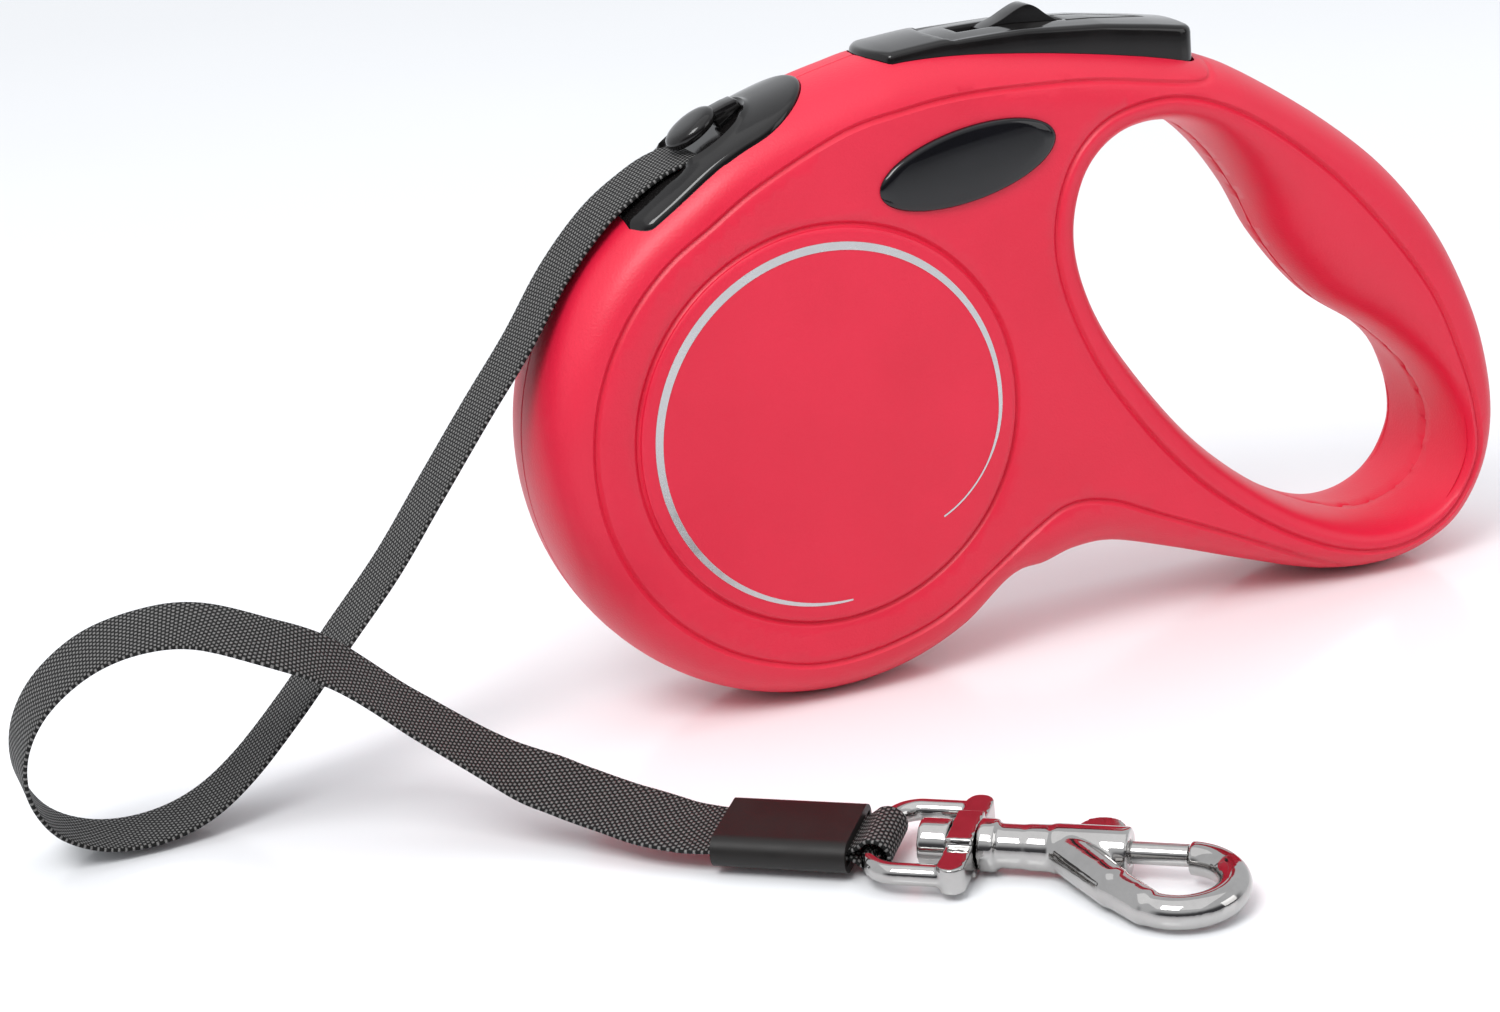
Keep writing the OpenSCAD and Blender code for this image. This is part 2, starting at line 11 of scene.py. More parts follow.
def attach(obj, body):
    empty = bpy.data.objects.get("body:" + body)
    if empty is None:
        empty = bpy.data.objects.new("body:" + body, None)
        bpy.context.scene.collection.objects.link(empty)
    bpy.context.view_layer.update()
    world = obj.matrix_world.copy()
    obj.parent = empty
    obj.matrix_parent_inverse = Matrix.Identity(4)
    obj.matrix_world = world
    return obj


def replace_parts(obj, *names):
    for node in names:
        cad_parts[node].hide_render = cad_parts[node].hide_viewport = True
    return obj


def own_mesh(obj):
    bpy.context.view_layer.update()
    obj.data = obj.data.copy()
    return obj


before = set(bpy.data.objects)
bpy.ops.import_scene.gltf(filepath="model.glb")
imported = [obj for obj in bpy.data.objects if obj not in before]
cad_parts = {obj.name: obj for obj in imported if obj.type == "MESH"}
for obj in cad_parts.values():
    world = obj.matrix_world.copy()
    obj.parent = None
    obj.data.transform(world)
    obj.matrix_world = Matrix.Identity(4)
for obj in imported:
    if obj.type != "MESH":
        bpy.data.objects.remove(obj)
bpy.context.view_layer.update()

# Shapes are in millimetres until their mesh is made. The housing and what is set in it are drawn
# in a side view, x from the reel's axis and z from the floor, or in a plan view, x and y.
MM = 0.001
REEL_X, REEL_Z = -37.5, 43.4  # the reel's axis in the frame
HALF = 13.0  # half of the housing's thickness
BOW = 2.2  # how boxy the housing's rounded rim is

# ---------------------------------------------------------------- camera, floor and light


def look_camera():
    """Puts the camera where the picture was taken from: the axes are those of the image."""
    right = Vector((0.92620, -0.36721, -0.08547))
    up = Vector((0.19323, 0.26764, 0.94395))
    forward = Vector((0.32375, 0.89080, -0.31884))
    data = bpy.data.cameras.new("camera")
    data.sensor_width = 36.0
    data.lens = 76.8
    data.clip_start = 0.01
    camera = bpy.data.objects.new("camera", data)
    bpy.context.scene.collection.objects.link(camera)
    turn = Matrix((right, up, -forward)).transposed().to_4x4()
    camera.matrix_world = Matrix.Translation(Vector((-0.2033, -0.4308, 0.1837))) @ turn
    bpy.context.scene.camera = camera


def area_light(name, place, target, size, power):
    data = bpy.data.lights.new(name, "AREA")
    data.energy = power
    data.size = size
    light = bpy.data.objects.new(name, data)
    bpy.context.scene.collection.objects.link(light)
    light.location = place
    direction = Vector(target) - Vector(place)
    light.rotation_euler = direction.to_track_quat("-Z", "Y").to_euler()


def studio():
    """White dome with a dim room on the viewer's side near the horizon, for the metal to mirror."""
    world = bpy.data.worlds.new("studio")
    bpy.context.scene.world = world
    world.use_nodes = True
    tree = world.node_tree
    where = tree.nodes.new("ShaderNodeTexCoord")
    axes = tree.nodes.new("ShaderNodeSeparateXYZ")
    tree.links.new(where.outputs["Generated"], axes.inputs["Vector"])
    dim = tree.nodes.new("ShaderNodeMath")
    dim.operation = "MULTIPLY"
    for i, (axis, low, high) in enumerate((("Y", -0.05, -0.5), ("Z", 0.55, 0.2))):
        span = tree.nodes.new("ShaderNodeMapRange")
        span.interpolation_type = "SMOOTHSTEP"
        span.inputs["From Min"].default_value = low
        span.inputs["From Max"].default_value = high
        tree.links.new(axes.outputs[axis], span.inputs["Value"])
        tree.links.new(span.outputs["Result"], dim.inputs[i])
    shade = tree.nodes.new("ShaderNodeValToRGB")
    shade.color_ramp.elements[0].color = (0.95, 0.97, 1.0, 1)
    shade.color_ramp.elements[1].color = (0.10, 0.10, 0.11, 1)
    tree.links.new(dim.outputs[0], shade.inputs["Fac"])
    background = tree.nodes["Background"]
    tree.links.new(shade.outputs["Color"], background.inputs["Color"])
    background.inputs["Strength"].default_value = 0.88


look_camera()
area_light("key", (-0.50, -0.45, 0.80), (0, 0, 0.04), 0.40, 5.5)
area_light("top", (-0.2, -0.3, 1.3), (0, 0, 0.05), 1.8, 5.0)
area_light("fill", (0.75, -0.70, 0.35), (0, 0, 0.04), 0.5, 1.2)
studio()
bpy.context.scene.view_settings.view_transform = "Standard"

# ---------------------------------------------------------------- materials


class Graph:
    """A short way to write node materials."""

    def __init__(self, name, **shader):
        self.material = bpy.data.materials.new(name)
        self.material.use_nodes = True
        self.tree = self.material.node_tree
        self.shader = self.tree.nodes["Principled BSDF"]
        for key, value in shader.items():
            self.shader.inputs[key.replace("_", " ")].default_value = value

    def add(self, kind, values=(), **settings):
        node = self.tree.nodes.new(kind)
        for key, value in settings.items():
            setattr(node, key, value)
        for key, value in dict(values).items():
            if isinstance(value, bpy.types.NodeSocket):
                self.tree.links.new(value, node.inputs[key])
            else:
                node.inputs[key].default_value = value
        return node

    def link(self, out, key):
        self.tree.links.new(out, self.shader.inputs[key])

    def noise(self, scale, detail=2.0, rough=0.5):
        place = self.add("ShaderNodeTexCoord").outputs["Object"]
        return self.add("ShaderNodeTexNoise", {
            "Scale": scale, "Detail": detail, "Roughness": rough, "Vector": place}).outputs["Fac"]

    def math(self, operation, a, b=0.0, clamp=False):
        node = self.add("ShaderNodeMath", operation=operation, use_clamp=clamp)
        for i, value in enumerate((a, b)):
            if isinstance(value, bpy.types.NodeSocket):
                self.tree.links.new(value, node.inputs[i])
            else:
                node.inputs[i].default_value = value
        return node.outputs[0]

    def span(self, value, low, high, to_low=0.0, to_high=1.0):
        return self.add("ShaderNodeMapRange", {
            "Value": value, "From Min": low, "From Max": high,
            "To Min": to_low, "To Max": to_high}).outputs["Result"]

    def ramp(self, value, stops):
        node = self.add("ShaderNodeValToRGB", {"Fac": value})
        ramp = node.color_ramp
        for i, (at, colour) in enumerate(stops):
            stop = ramp.elements[i] if i < 2 else ramp.elements.new(at)
            stop.position = at
            stop.color = (*colour, 1)
        return node.outputs["Color"]

    def bump(self, height, distance, strength=1.0):
        node = self.add("ShaderNodeBump", {
            "Height": height, "Distance": distance, "Strength": strength})
        self.link(node.outputs["Normal"], "Normal")


def red_plastic(name):
    """Satin red shell plastic with a fine spark-eroded texture."""
    g = Graph(name, Coat_Weight=0.10, Coat_Roughness=0.25, IOR=1.49)
    cloud = g.noise(45, 3)
    g.link(g.ramp(cloud, [(0.3, (0.66, 0.006, 0.035)), (0.7, (0.72, 0.010, 0.045))]), "Base Color")
    g.link(g.span(cloud, 0.3, 0.7, 0.40, 0.52), "Roughness")
    g.bump(g.noise(2600, 3, 0.6), 0.00006, 0.9)
    return g.material


def gloss_black(name, tint, rough, coat):
    """Black plastic or film, a little uneven in gloss."""
    g = Graph(name, Coat_Weight=coat, Coat_Roughness=0.05, IOR=1.4)
    smear = g.noise(120, 4, 0.6)
    lighter = tuple(c * 1.8 for c in tint)
    g.link(g.ramp(smear, [(0.3, tint), (0.75, lighter)]), "Base Color")
    g.link(g.span(smear, 0.3, 0.7, *rough), "Roughness")
    g.bump(g.noise(900, 2), 0.00001, 0.25)
    return g.material


def metal(name, colour, rough, bump_scale, bump):
    """Bare or plated metal with faint smears."""
    g = Graph(name, Metallic=1.0)
    smear = g.noise(260, 4, 0.65)
    darker = tuple(c * 0.86 for c in colour)
    g.link(g.ramp(smear, [(0.25, darker), (0.7, colour)]), "Base Color")
    g.link(g.span(smear, 0.3, 0.75, *rough), "Roughness")
    g.bump(g.noise(bump_scale, 3), bump, 0.5)
    return g.material


def matt(name, low, high):
    """Matt surface whose colour wanders between two tones."""
    g = Graph(name, IOR=1.48)
    cloud = g.noise(90, 3)
    g.link(g.ramp(cloud, [(0.3, low), (0.7, high)]), "Base Color")
    g.link(g.span(cloud, 0.3, 0.7, 0.4, 0.55), "Roughness")
    g.bump(g.noise(2000, 2), 0.00002, 0.6)
    return g.material


def woven(name, across, along):
    """Plain weave on a surface whose UV is in millimetres: u across the tape, v along it; its colour paints a
    sheen on the yarn crowns and shade in the gaps between yarns.
    """
    g = Graph(name, Specular_IOR_Level=0.3)
    uv = g.add("ShaderNodeTexCoord").outputs["UV"]
    split = g.add("ShaderNodeSeparateXYZ", {"Vector": uv})
    u = g.math("DIVIDE", split.outputs["X"], across)
    v = g.math("DIVIDE", split.outputs["Y"], along)
    row = g.math("FLOOR", v)
    odd = g.math("MODULO", row, 2.0)  # every other row is set half a yarn aside
    shifted = g.math("ADD", u, g.math("MULTIPLY", odd, 0.5))
    fu = g.math("ABSOLUTE", g.math("SUBTRACT", g.math("FRACT", shifted), 0.5))
    fv = g.math("ABSOLUTE", g.math("SUBTRACT", g.math("FRACT", v), 0.5))
    yarn_u = g.math("SUBTRACT", 1.0, g.math("POWER", g.math("MULTIPLY", fu, 2.7), 3.0), True)
    yarn_v = g.math("SUBTRACT", 1.0, g.math("POWER", g.math("MULTIPLY", fv, 2.1), 3.0), True)
    yarn = g.math("MULTIPLY", yarn_u, yarn_v)
    strand = g.noise(5200, 2)
    # painted sheen and shade: the yarn crowns are painted lighter grey and the gaps between yarns near black,
    # varied at random by the strand noise
    painted_sheen_and_shade = g.math("MULTIPLY", yarn, g.span(strand, 0.3, 0.7, 0.55, 1.0))
    g.link(g.ramp(painted_sheen_and_shade, [(0.2, (0.004, 0.004, 0.004)), (0.85, (0.20, 0.195, 0.19))]), "Base Color")
    g.link(g.span(yarn, 0, 1, 0.8, 0.42), "Roughness")
    g.bump(yarn, 0.00022, 1.0)
    return g.material


RED_GRAIN = red_plastic("red_grained")
BLACK = gloss_black("black_gloss", (0.005, 0.0045, 0.0045), (0.07, 0.15), 0.12)
BADGE = gloss_black("badge_gloss", (0.003, 0.003, 0.004), (0.04, 0.09), 0.2)
SLEEVE = gloss_black("sleeve_film", (0.005, 0.004, 0.0035), (0.42, 0.55), 0.0)
CHROME = metal("nickel_plate", (0.46, 0.45, 0.44), (0.04, 0.11), 500, 0.00002)
SILVER = metal("silver_foil", (0.62, 0.62, 0.63), (0.2, 0.32), 1200, 0.00001)
STEEL = metal("brushed_steel", (0.55, 0.55, 0.56), (0.22, 0.38), 1500, 0.00002)
GREY = matt("grey_moulding", (0.19, 0.19, 0.2), (0.26, 0.26, 0.27))
WEAVE = woven("tape_weave", 0.95, 0.55)
TAPE_EDGE = matt("tape_edge", (0.02, 0.02, 0.02), (0.045, 0.045, 0.045))


def floor():
    """A pale glossy studio floor."""
    g = Graph("floor_paint", Roughness=0.16, IOR=1.4)
    g.link(g.ramp(g.noise(3, 2), [(0.3, (0.90, 0.91, 0.93)), (0.7, (0.93, 0.94, 0.955))]), "Base Color")
    mesh = bpy.data.meshes.new("floor")
    r = 6.0  # half of its side, in metres
    mesh.from_pydata([(-r, -r, 0), (r, -r, 0), (r, r, 0), (-r, r, 0)], [], [(0, 1, 2, 3)])
    mesh.materials.append(g.material)
    plane = bpy.data.objects.new("floor", mesh)
    bpy.context.scene.collection.objects.link(plane)
    plane.location.z = -0.0001  # just below what stands on it


floor()

# ---------------------------------------------------------------- mesh helpers


def make(name, verts, faces, material, body, smooth=35.0, uv=None):
    """A mesh piece from points in millimetres that rides on a body."""
    mesh = bpy.data.meshes.new(name)
    mesh.from_pydata([tuple(np.asarray(v, float) * MM) for v in verts], [], faces)
    obj = bpy.data.objects.new(name, mesh)
    bpy.context.scene.collection.objects.link(obj)
    if uv is not None:
        layer = mesh.uv_layers.new(name="UVMap")
        for loop in mesh.loops:
            layer.data[loop.index].uv = uv[loop.vertex_index]
    if body:
        finish_piece(obj, material, body, smooth)
    return obj


def finish_piece(obj, material, body, smooth=35.0):
    """Gives a mesh its material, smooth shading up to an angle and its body."""
    mesh = obj.data
    work = bmesh.new()
    work.from_mesh(mesh)
    bmesh.ops.recalc_face_normals(work, faces=work.faces)
    work.to_mesh(mesh)
    work.free()
    if not mesh.materials:
        mesh.materials.append(material)
    mesh.polygons.foreach_set("use_smooth", [True] * len(mesh.polygons))
    mesh.set_sharp_from_angle(angle=math.radians(smooth))
    mesh.update()
    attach(obj, body)
    return obj


def bake_modifiers(obj):
    """Replaces the object's mesh by what its modifiers make of it."""
    bpy.context.view_layer.update()
    seen = obj.evaluated_get(bpy.context.evaluated_depsgraph_get())
    mesh = bpy.data.meshes.new_from_object(seen)
    obj.modifiers.clear()
    obj.data = mesh


def cut(obj, cutter):
    """Takes the cutter's shape out of the object, and the cutter out of the scene."""
    mod = obj.modifiers.new("cut", "BOOLEAN")
    mod.operation = "DIFFERENCE"
    mod.solver = "EXACT"
    mod.object = cutter
    bake_modifiers(obj)
    bpy.data.objects.remove(cutter, do_unlink=True)


def thicken(obj, wall):
    """Gives an open skin a wall of this thickness on its inner side."""
    solid = obj.modifiers.new("wall", "SOLIDIFY")
    solid.thickness = wall * MM
    solid.offset = -1
    bake_modifiers(obj)


def closed_curve(points, steps):
    """Smooth closed line through the points, with this many steps from each to the next."""
    p = np.array(points, float)
    a, c, d = np.roll(p, 1, 0), np.roll(p, -1, 0), np.roll(p, -2, 0)
    rows = []
    for t in np.arange(steps) / steps:
        rows.append(0.5 * (2 * p + (c - a) * t + (2 * a - 5 * p + 4 * c - d) * t * t
                           + (3 * p - a - 3 * c + d) * t ** 3))
    return np.stack(rows, 1).reshape(-1, p.shape[1])


def open_curve(points, steps):
    """Smooth open line through the points, with this many steps from each to the next."""
    p = np.array(points, float)
    q = np.vstack([p[:1], p, p[-1:]])
    rows = []
    for i in range(len(p) - 1):
        a, b, c, d = q[i], q[i + 1], q[i + 2], q[i + 3]
        for t in np.arange(steps) / steps:
            rows.append(0.5 * (2 * b + (c - a) * t + (2 * a - 5 * b + 4 * c - d) * t * t
                               + (3 * b - a - 3 * c + d) * t ** 3))
    rows.append(p[-1])
    return np.array(rows)


def spaced(line, step, closed=False):
    """The line again, with its points the same distance apart."""
    whole = np.vstack([line, line[:1]]) if closed else line
    run = np.concatenate([[0], np.cumsum(np.linalg.norm(np.diff(whole[:, :2], axis=0), axis=1))])
    count = max(2, int(round(run[-1] / step)))
    at = np.linspace(0, run[-1], count + 1)
    out = np.stack([np.interp(at, run, whole[:, k]) for k in range(line.shape[1])], 1)
    return out[:-1] if closed else out


def normals(line, closed=True):
    """Normals to the right of the way the line runs, outwards on an anticlockwise loop."""
    if closed:
        d = np.roll(line, -1, 0) - np.roll(line, 1, 0)
    else:
        d = np.gradient(line, axis=0)
    d = d[:, :2] / np.linalg.norm(d[:, :2], axis=1)[:, None]
    return np.stack([d[:, 1], -d[:, 0]], 1)


def nearest(points, line, closed):
    """Distance from each point to the line, and where on the line that is, as index plus share."""
    a = line[:, :2] if closed else line[:-1, :2]
    b = np.roll(line[:, :2], -1, 0) if closed else line[1:, :2]
    d = b - a
    size = (d ** 2).sum(1)
    best, where = np.empty(len(points)), np.empty(len(points))
    for s in range(0, len(points), 4000):
        q = points[s:s + 4000, None, :] - a[None]
        t = np.clip((q * d).sum(2) / size, 0, 1)
        far = np.linalg.norm(q - t[..., None] * d, axis=2)
        k = far.argmin(1)
        rows = np.arange(len(k))
        best[s:s + 4000] = far[rows, k]
        where[s:s + 4000] = k + t[rows, k]
    return best, where


def inside(points, loop):
    """Which of the points lie inside the closed loop."""
    a, b = loop[:, :2], np.roll(loop[:, :2], -1, 0)
    found = np.zeros(len(points), bool)
    for s in range(0, len(points), 4000):
        x, z = points[s:s + 4000, 0][:, None], points[s:s + 4000, 1][:, None]
        crosses = (a[:, 1] > z) != (b[:, 1] > z)
        rise = np.where(b[:, 1] == a[:, 1], 1e-9, b[:, 1] - a[:, 1])
        at = a[:, 0] + (z - a[:, 1]) * (b[:, 0] - a[:, 0]) / rise
        found[s:s + 4000] = (crosses & (x < at)).sum(1) % 2 == 1
    return found


# ---------------------------------------------------------------- the free tape and its end

TAPE_W, TAPE_T = 12.0, 0.65
TAPE_ROUTE = [
    (-40, 0, 81.8), (-46, 0, 83.3), (-51, 0, 84.6), (-55, 0, 84.2), (-59.6, 0, 82.3),
    (-66.4, 0, 77.9), (-73.5, 0, 70.6), (-80.5, -1, 61.6), (-88, -2, 53), (-96.5, -3, 42.8),
    (-104, -3, 33.2), (-112.5, -3, 24), (-121, -3, 14.8), (-129, -3, 7.2), (-136, -3.5, 3),
    (-143.5, -4, 1.5), (-151, -4.2, 2.5), (-157, -5, 6.5), (-160.2, -6.6, 13.4),
    (-159.9, -8.3, 20.6), (-156.4, -10.2, 27.2), (-150, -12.5, 32.5), (-142.5, -14.7, 35),
    (-135, -16.9, 35), (-126.5, -20.5, 32), (-118, -22.5, 27.4), (-108, -26.5, 18.8),
    (-98.5, -31.8, 11.6), (-91.5, -37.4, 8), (-85, -43.6, 5.5), (-79.4, -50, 4.2),
    (-74.3, -54.4, 3.8), (-70.7, -57.3, 3.8)]
# How far the tape's width leans up from level, by number of the route's point
TAPE_LEAN = ((17, 0), (22, 0.14), (25, 0.42), (28, 0.36), (31, 0.087), (32, 0.087))
# From the sleeve on, the lead runs along the X of its own place
LEAD = (Matrix.Translation((-74.3, -54.4, 3.8)) @ Matrix.Rotation(math.radians(-39), 4, "Z")
        @ Matrix.Rotation(math.radians(5), 4, "X"))


def ribbon(name, path, hints, width, thick, material, body):
    """A flat band with rounded edges along a path, UV in millimetres; also gives its length."""
    n = len(path)
    tangent = np.gradient(path, axis=0)
    tangent /= np.linalg.norm(tangent, axis=1)[:, None]
    across = hints - (hints * tangent).sum(1)[:, None] * tangent
    across /= np.linalg.norm(across, axis=1)[:, None]
    up = np.cross(tangent, across)
    run = np.concatenate([[0], np.cumsum(np.linalg.norm(np.diff(path, axis=0), axis=1))])
    r = thick / 2
    flat = width / 2 - r
    bend = np.radians((45, 90, 135))
    ring = [(x, r) for x in np.linspace(-flat, flat, 7)]
    ring += [(flat + r * math.sin(a), r * math.cos(a)) for a in bend]
    ring += [(x, -r) for x in np.linspace(flat, -flat, 7)]
    ring += [(-flat - r * math.sin(a), -r * math.cos(a)) for a in bend]
    verts, uv = [], []
    for i in range(n):
        for x, h in ring:
            verts.append(path[i] + x * across[i] + h * up[i])
            uv.append((x + width / 2, run[i]))
    m = len(ring)
    faces = [(i * m + k, i * m + (k + 1) % m, (i + 1) * m + (k + 1) % m, (i + 1) * m + k)
             for i in range(n - 1) for k in range(m)]
    faces += [tuple(range(m - 1, -1, -1)), tuple((n - 1) * m + k for k in range(m))]
    return make(name, verts, faces, material, body, 60, uv), float(run[-1])


tape_path = open_curve(TAPE_ROUTE, 10)
leans = [(0, 1, float(np.interp(i, *zip(*TAPE_LEAN)))) for i in range(len(TAPE_ROUTE))]
tape_obj, tape_length = ribbon("tape_band", tape_path, open_curve(leans, 10),
                               TAPE_W, TAPE_T, WEAVE, "housing")
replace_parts(tape_obj, "tape_free")


def end_fold():
    """The tape's end, folded round the eye's bar and back into the sleeve."""
    bar_x, wrap_r, width, thick = 22.0, 2.25, 9.6, 0.62
    wrap = [(bar_x + wrap_r * math.cos(a), wrap_r * math.sin(a))
            for a in np.radians(np.linspace(118, -118, 25))]
    lay = [(12, 0.42), (16, 0.42), (18.2, 0.45), (19.6, 0.95)]
    fold = lay + wrap + [(x, -z) for x, z in lay[::-1]]
    path = open_curve([tuple(LEAD @ Vector((x, 0, z))) for x, z in fold], 3)
    sideways = np.array([tuple(LEAD.to_3x3() @ Vector((0, 1, 0)))] * len(path))
    obj, _ = ribbon("end_fold", path, sideways, width, thick, WEAVE, "housing")
    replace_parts(obj, "tape_end_loop")
    return obj


# ---------------------------------------------------------------- lines of the housing's side view

# Mid-plane outline; the third value is the rim's width there
CASE_R = 43.8
CASE_ARC = [(CASE_R * math.cos(math.radians(a)), REEL_Z + CASE_R * math.sin(math.radians(a)), 7.2)
            for a in range(118, 314, 13)]
HANDLE_LINE = [
    (35.5, 12.1, 8.0), (41, 13.4, 8.4), (48, 13.2, 8.2), (58.5, 9.9, 7.4), (71.5, 5.2, 6.4),
    (83.5, 1.3, 5.6), (94, 0.1, 5.2), (102.7, 1.6, 5.2), (110.0, 5.8, 5.4), (115.3, 14, 5.6),
    (117.2, 24.3, 5.8), (115.5, 36.3, 6.0), (111.5, 47.4, 6.2), (106.1, 57.2, 6.4),
    (98.2, 66.9, 6.6), (87.7, 75.8, 6.8), (75.6, 83.9, 7.0), (68.9, 87.2, 7.2), (61, 89.6, 7.4),
    (50, 91.9, 7.6), (38, 93.9, 7.8), (26, 95.3, 7.8), (16, 95.5, 7.8), (9.5, 94.4, 7.8),
    (3, 92.9, 7.8), (-5, 90.5, 7.6), (-13, 87, 7.4)]
# Finger opening on the mid-plane, and where its rounding meets the side face
GRIP_MID = [
    (43.6, 64.5), (45.6, 54.5), (51.5, 43.5), (62.5, 28.8), (75, 17.5), (87, 10.6),
    (97.5, 8.4), (106.5, 12.2), (109.3, 20.5), (106, 29.5), (98.5, 37.8), (88, 45.6),
    (80, 55.5), (75.5, 64.5), (70.5, 72), (65, 77), (58.5, 79), (51.5, 78), (46, 73)]
GRIP_FACE = [
    (39.7, 65.5), (41.6, 54.5), (47.8, 41.3), (59.5, 26), (72.5, 15), (85.5, 7.9),
    (96, 6.1), (104.8, 9), (110, 16.8), (109.8, 25), (107, 34.6), (102.5, 45),
    (95, 55.8), (85.5, 66.5), (75, 75.3), (66, 80.6), (57.4, 82.7), (48.2, 81.1),
    (42.1, 75.3)]
outline = closed_curve(CASE_ARC + HANDLE_LINE, 8)
grip_mid = closed_curve(GRIP_MID, 10)
grip_face = closed_curve(GRIP_FACE, 10)

# Fine grooves moulded into each side face: round the cover, inside the rim, and round the grip
GROOVE_HALF, GROOVE_DEEP = 0.62, 0.55
COVER_Z = REEL_Z + 0.2
COVER_GROOVE_R, RIM_GROOVE_R = 30.3, 36.6
cover_groove = np.array([(COVER_GROOVE_R * math.cos(a), COVER_Z + COVER_GROOVE_R * math.sin(a))
                         for a in np.linspace(0, 2 * math.pi, 181)[:-1]])
rim_arc = [(RIM_GROOVE_R * math.cos(math.radians(a)), REEL_Z + RIM_GROOVE_R * math.sin(math.radians(a)))
           for a in range(116, 254, 12)]
rim_groove = open_curve(
    [(68.6, 87.6), (67.6, 86.2), (65.8, 85.0), (61.5, 85.2), (47, 87.8), (35.5, 88.8),
     (24.3, 89.2), (14.7, 88.4), (5.1, 86.6), (-7.8, 81.2)] + rim_arc
    + [(-5, 7.0), (5, 7.3), (15.5, 10.2), (24.8, 16), (32.4, 21), (38.2, 23.6), (45, 22.8),
       (54, 18.6), (67.4, 12.2), (80, 5.9), (86, 3.2)], 8)
face_corners = closed_curve(GRIP_FACE, 1)
outwards = np.array([1.4] * 7 + [1.0] * (len(GRIP_FACE) - 7))[:, None]
grip_groove = closed_curve([tuple(p) for p in face_corners + outwards * normals(face_corners)], 10)
GROOVES = ((cover_groove, True), (rim_groove, False), (grip_groove, True))


def bow(share):
    """How far the surface has come up when it is this share of the rim's width in."""
    return (1 - np.clip(1 - share, 0, 1) ** BOW) ** (1 / BOW)


def skin_height(points):
    """Half thickness of the housing over each point of its side view."""
    edge, at = nearest(points, outline, True)
    width = np.interp(at, np.arange(len(outline) + 1), np.append(outline[:, 2], outline[0, 2]))
    outer = 1 - bow(edge / width)
    mid, _ = nearest(points, grip_mid, True)
    face, _ = nearest(points, grip_face, True)
    inner = 1 - bow(np.where(inside(points, grip_face), mid / (mid + face + 1e-9), 1.0))
    both = np.clip((outer ** 2.6 + inner ** 2.6) ** (1 / 2.6), 0, 1)
    height = HALF * (1 - both)
    for line, closed in GROOVES:
        gap, _ = nearest(points, line, closed)
        side = np.clip(gap / GROOVE_HALF, 0, 1)
        height = height - GROOVE_DEEP * (1 - side ** 2) ** 2 * np.clip(height / 4, 0, 1)
    return height


def fillet(gap, radius):
    """Drop at this distance in from an edge rounded to this radius."""
    t = np.clip(1 - gap / radius, 0, 1)
    return radius * (1 - np.sqrt(1 - t * t))


def offset_loop(loop, by):
    """The loop moved outwards, or inwards where by is negative."""
    return loop[:, :2] + by * normals(loop)


def field_mesh(loops, holes, step, room, box):
    """Flat points and triangles that keep to the given loops and fill the first, less its holes.

    The rest is a grid of this step within the box, wherever it has this much room to the loops.
    """
    points, edges = [], []
    for loop, closed in loops:
        base = len(points)
        points += [tuple(p) for p in loop[:, :2]]
        edges += [(base + i, base + i + 1) for i in range(len(loop) - 1)]
        if closed:
            edges.append((base + len(loop) - 1, base))
    fixed = np.array(points)
    rows = np.arange(box[1], box[3], step * 0.87)
    grid = np.array([(x + (j % 2) * step / 2, y)
                     for j, y in enumerate(rows) for x in np.arange(box[0], box[2], step)])
    grid = grid[wanted(grid, loops[0][0], holes)]
    clear = np.ones(len(grid), bool)
    for s in range(0, len(grid), 500):
        clear[s:s + 500] = np.linalg.norm(grid[s:s + 500, None] - fixed[None], axis=2).min(1) > room
    points += [tuple(p) for p in grid[clear]]
    out, _, tris, *_ = delaunay_2d_cdt([Vector(p) for p in points], edges, [], 0, 1e-4)
    flat = np.array([tuple(v) for v in out])
    tris = np.array([t for t in tris if len(t) == 3])
    tris = tris[wanted(flat[tris].mean(1), loops[0][0], holes)]
    used = np.unique(tris)
    index = np.full(len(flat), -1)
    index[used] = np.arange(len(used))
    return flat[used], index[tris]


def wanted(points, border, holes):
    """Which of the points lie inside the border and outside the holes."""
    keep = inside(points, border)
    for hole in holes:
        keep &= ~inside(points, hole)
    return keep


# ---------------------------------------------------------------- housing halves

# Each half stops this far short of the mid-plane, and its edge goes this far in before it gets there
SEAM_HALF, SEAM_DEEP = 0.22, 0.30
HOUSING_WALL = 1.7


def skin_mesh():
    """The side view of one half in triangles, finest at its edges and along its grooves."""
    rim_loop = spaced(outline, 1.15, True)
    loops = [(offset_loop(rim_loop, -inset), True)
             for inset in (0, 0.05, 0.16, 0.34, 0.6, 0.95, 1.4, 1.95, 2.6, 3.4, 4.4, 5.6)]
    mid, face = closed_curve(GRIP_MID, 40), closed_curve(GRIP_FACE, 40)
    pick = np.linspace(0, len(mid), 230, endpoint=False).astype(int)
    for share in (0, 0.012, 0.035, 0.07, 0.12, 0.19, 0.28, 0.4, 0.55, 0.75, 1.0):
        loops.append((mid[pick] * (1 - share) + face[pick] * share, True))
    for line, closed in GROOVES:
        even = spaced(line, 1.0, closed)[:, :2]
        side = normals(even, closed)
        for shift in (-1, -0.66, -0.33, 0, 0.33, 0.66, 1):
            loops.append((even + shift * GROOVE_HALF * side, closed))
    return field_mesh(loops, [mid[pick]], 1.7, 0.9, (-45, 0, 119, 97))


